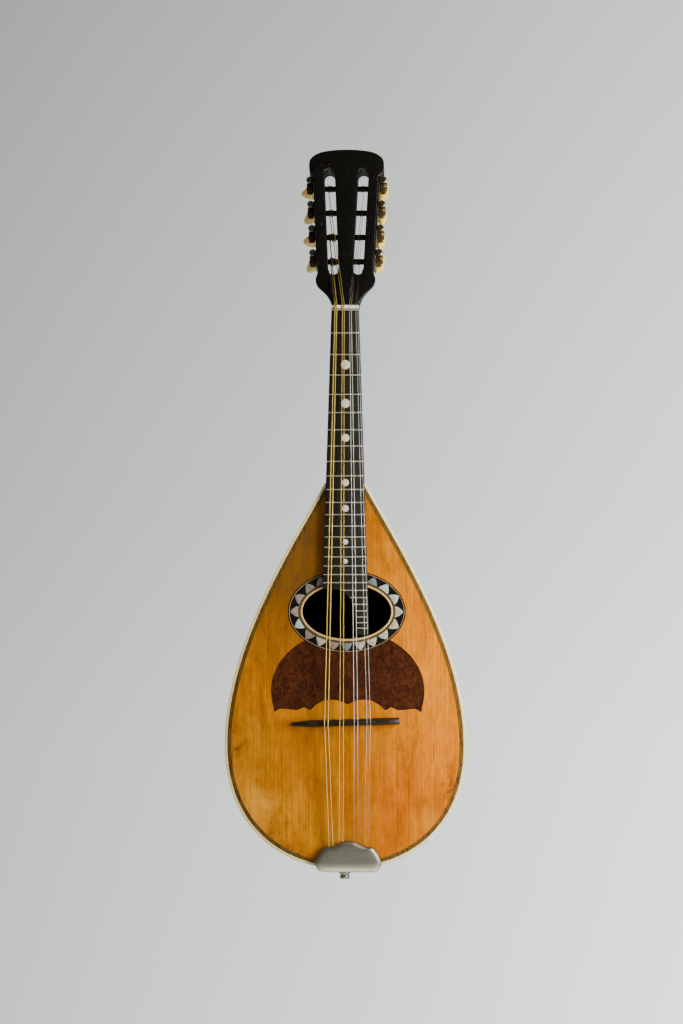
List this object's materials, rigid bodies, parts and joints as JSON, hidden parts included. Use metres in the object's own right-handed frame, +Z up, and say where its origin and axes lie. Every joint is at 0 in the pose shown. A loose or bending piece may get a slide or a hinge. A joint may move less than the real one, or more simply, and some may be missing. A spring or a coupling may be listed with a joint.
{
  "type": "bowl back mandolin",
  "caption": "Bowl back mandolin with paired strings, oval soundhole, inlaid guard, floating bridge and worm geared tuners in a slotted head.",
  "frame": {"origin": "on the centre line under the zero fret, in the plane of the soundboard's front, where a hanger's yoke takes the head's lower shoulders", "axes": "+Z up the neck, +X to the right of someone facing the soundboard, +Y back into the bowl"},
  "size_m": [0.1952, 0.1491, 0.5961],
  "materials": {
    "black_wood": "polished ebonised wood",
    "fingerboard_wood": "oiled dark rosewood",
    "bone": "worn bone",
    "spruce": "aged amber varnish over spruce",
    "ivoroid": "yellowed ivory-like binding",
    "rosette_mastic": "dark mastic with pearl inlay",
    "tortoiseshell": "mottled dark red-brown, polished",
    "rosewood": "french polished rosewood",
    "block_wood": "bare wood",
    "nickel": "aged nickel plate",
    "aged_steel": "worn steel",
    "aged_brass": "tarnished brass",
    "wound_string": "bronze wound",
    "plain_string": "bright steel wire"
  },
  "bodies": {
    "root": {"neck": "black_wood", "head_veneer": "black_wood", "fingerboard": "fingerboard_wood", "nut": "bone", "soundboard": "spruce", "binding": "ivoroid", "soundhole_ring": "ivoroid", "rosette": "rosette_mastic", "pickguard": "tortoiseshell", "end_clasp": "rosewood", "neck_block": "block_wood", "tail_block": "block_wood", "brace_upper": "block_wood", "brace_lower": "block_wood", "tuner_plate_left": "nickel", "tuner_plate_right": "nickel", "tailpiece_base": "nickel", "tailpiece_cover": "nickel", "end_pin": "nickel", "rib_1": "rosewood", "rib_2": "rosewood", "rib_3": "rosewood", "rib_4": "rosewood", "rib_5": "rosewood", "rib_6": "rosewood", "rib_7": "rosewood", "string_g1": "wound_string", "string_g2": "wound_string", "string_d1": "wound_string", "string_d2": "wound_string", "string_a1": "plain_string", "string_a2": "plain_string", "string_e1": "plain_string", "string_e2": "plain_string"},
    "knob_left_1": {"worm_left_1": "aged_steel", "button_left_1": "ivoroid"},
    "winder_left_1": {"roller_left_1": "aged_brass"},
    "knob_left_2": {"worm_left_2": "aged_steel", "button_left_2": "ivoroid"},
    "winder_left_2": {"roller_left_2": "aged_brass"},
    "knob_left_3": {"worm_left_3": "aged_steel", "button_left_3": "ivoroid"},
    "winder_left_3": {"roller_left_3": "aged_brass"},
    "knob_left_4": {"worm_left_4": "aged_steel", "button_left_4": "ivoroid"},
    "winder_left_4": {"roller_left_4": "aged_brass"},
    "knob_right_1": {"worm_right_1": "aged_steel", "button_right_1": "ivoroid"},
    "winder_right_1": {"roller_right_1": "aged_brass"},
    "knob_right_2": {"worm_right_2": "aged_steel", "button_right_2": "ivoroid"},
    "winder_right_2": {"roller_right_2": "aged_brass"},
    "knob_right_3": {"worm_right_3": "aged_steel", "button_right_3": "ivoroid"},
    "winder_right_3": {"roller_right_3": "aged_brass"},
    "knob_right_4": {"worm_right_4": "aged_steel", "button_right_4": "ivoroid"},
    "winder_right_4": {"roller_right_4": "aged_brass"},
    "bridge": {"bridge": "black_wood"}
  },
  "joints": [
    {"name": "knob_left_1_turn", "type": "hinge", "parent": "root", "child": "knob_left_1", "pos_m": [-0.02698, 0.02295, 0.04647], "axis": [0, 0.9613, -0.2756], "continuous": true},
    {"name": "winder_left_1_turn", "type": "hinge", "parent": "root", "child": "winder_left_1", "pos_m": [0, 0.02128, 0.04066], "axis": [1, 0, 0], "continuous": true},
    {"name": "knob_left_2_turn", "type": "hinge", "parent": "root", "child": "knob_left_2", "pos_m": [-0.02801, 0.02879, 0.06684], "axis": [0, 0.9613, -0.2756], "continuous": true},
    {"name": "winder_left_2_turn", "type": "hinge", "parent": "root", "child": "winder_left_2", "pos_m": [0, 0.02712, 0.06102], "axis": [1, 0, 0], "continuous": true},
    {"name": "knob_left_3_turn", "type": "hinge", "parent": "root", "child": "knob_left_3", "pos_m": [-0.02905, 0.03463, 0.08721], "axis": [0, 0.9613, -0.2756], "continuous": true},
    {"name": "winder_left_3_turn", "type": "hinge", "parent": "root", "child": "winder_left_3", "pos_m": [0, 0.03296, 0.08139], "axis": [1, 0, 0], "continuous": true},
    {"name": "knob_left_4_turn", "type": "hinge", "parent": "root", "child": "knob_left_4", "pos_m": [-0.03008, 0.04047, 0.10758], "axis": [0, 0.9613, -0.2756], "continuous": true},
    {"name": "winder_left_4_turn", "type": "hinge", "parent": "root", "child": "winder_left_4", "pos_m": [0, 0.0388, 0.10176], "axis": [1, 0, 0], "continuous": true},
    {"name": "knob_right_1_turn", "type": "hinge", "parent": "root", "child": "knob_right_1", "pos_m": [0.02698, 0.02295, 0.04647], "axis": [0, 0.9613, -0.2756], "continuous": true},
    {"name": "winder_right_1_turn", "type": "hinge", "parent": "root", "child": "winder_right_1", "pos_m": [0, 0.02128, 0.04066], "axis": [1, 0, 0], "continuous": true},
    {"name": "knob_right_2_turn", "type": "hinge", "parent": "root", "child": "knob_right_2", "pos_m": [0.02801, 0.02879, 0.06684], "axis": [0, 0.9613, -0.2756], "continuous": true},
    {"name": "winder_right_2_turn", "type": "hinge", "parent": "root", "child": "winder_right_2", "pos_m": [0, 0.02712, 0.06102], "axis": [1, 0, 0], "continuous": true},
    {"name": "knob_right_3_turn", "type": "hinge", "parent": "root", "child": "knob_right_3", "pos_m": [0.02905, 0.03463, 0.08721], "axis": [0, 0.9613, -0.2756], "continuous": true},
    {"name": "winder_right_3_turn", "type": "hinge", "parent": "root", "child": "winder_right_3", "pos_m": [0, 0.03296, 0.08139], "axis": [1, 0, 0], "continuous": true},
    {"name": "knob_right_4_turn", "type": "hinge", "parent": "root", "child": "knob_right_4", "pos_m": [0.03008, 0.04047, 0.10758], "axis": [0, 0.9613, -0.2756], "continuous": true},
    {"name": "winder_right_4_turn", "type": "hinge", "parent": "root", "child": "winder_right_4", "pos_m": [0, 0.0388, 0.10176], "axis": [1, 0, 0], "continuous": true},
    {"name": "bridge_shift", "type": "slide", "parent": "root", "child": "bridge", "axis": [0, 0, 1], "range_m": [-0.0015, 0.0015]}
  ],
  "couplings": [
    {"joint": "winder_left_1_turn", "follows": "knob_left_1_turn", "ratio": 0.071429},
    {"joint": "winder_left_2_turn", "follows": "knob_left_2_turn", "ratio": 0.071429},
    {"joint": "winder_left_3_turn", "follows": "knob_left_3_turn", "ratio": 0.071429},
    {"joint": "winder_left_4_turn", "follows": "knob_left_4_turn", "ratio": 0.071429},
    {"joint": "winder_right_1_turn", "follows": "knob_right_1_turn", "ratio": 0.071429},
    {"joint": "winder_right_2_turn", "follows": "knob_right_2_turn", "ratio": 0.071429},
    {"joint": "winder_right_3_turn", "follows": "knob_right_3_turn", "ratio": 0.071429},
    {"joint": "winder_right_4_turn", "follows": "knob_right_4_turn", "ratio": 0.071429}
  ]
}
